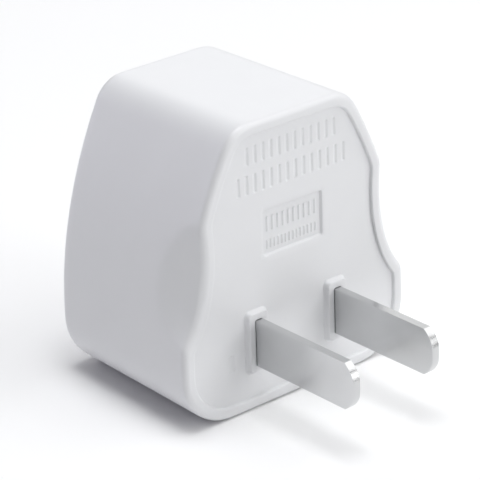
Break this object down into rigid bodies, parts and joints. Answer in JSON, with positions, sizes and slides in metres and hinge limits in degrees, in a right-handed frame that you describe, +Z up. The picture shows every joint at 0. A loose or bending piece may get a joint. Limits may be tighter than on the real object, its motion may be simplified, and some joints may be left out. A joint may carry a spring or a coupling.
{
  "type": "travel adaptor",
  "caption": "Two-blade plug adaptor with side finger scoops, a sunk plug face and a shuttered multi-standard socket behind.",
  "frame": {"origin": "middle of the flat base", "axes": "+Z up from the base, the blades point to -Y, the socket faces +Y, and X = 0 is the plane of symmetry"},
  "size_m": [0.0354, 0.0428, 0.0369],
  "materials": {
    "case_plastic": "smooth glossy white moulding",
    "socket_plastic": "smooth glossy white moulding",
    "blade_nickel": "nickel-plated brass, satin with fine lengthwise lines",
    "contact_brass": "bright stamped brass",
    "rivet_brass": "pressed brass",
    "spring_steel": "drawn spring steel",
    "screw_steel": "zinc-plated steel",
    "carrier_plastic": "black glass-filled nylon",
    "barrier_sheet": "stiff insulating sheet",
    "shutter_plastic": "slippery white acetal",
    "guide_plastic": "plain light grey moulding"
  },
  "bodies": {
    "root": {"case": "case_plastic", "socket_plate": "socket_plastic", "plate_screw": "screw_steel", "blade_left": "blade_nickel", "blade_right": "blade_nickel", "upper_jaw_left": "contact_brass", "upper_jaw_right": "contact_brass", "lower_jaw_left": "contact_brass", "lower_jaw_right": "contact_brass", "jaw_spring_left": "spring_steel", "jaw_spring_right": "spring_steel", "blade_rivets": "rivet_brass", "contact_carrier": "carrier_plastic", "carrier_screws": "screw_steel", "insulating_barrier": "barrier_sheet", "shutter_spring_left": "spring_steel", "shutter_spring_right": "spring_steel", "shutter_guide": "guide_plastic", "guide_screws": "screw_steel"},
    "shutter": {"shutter": "shutter_plastic"}
  },
  "joints": [
    {"name": "shutter_slide", "type": "slide", "parent": "root", "child": "shutter", "axis": [0, 0, 1], "range_m": [0, 0.0052], "stiffness_N_per_m": 60, "springref_m": -0.006, "deforming": ["shutter_spring_left", "shutter_spring_right"]}
  ]
}
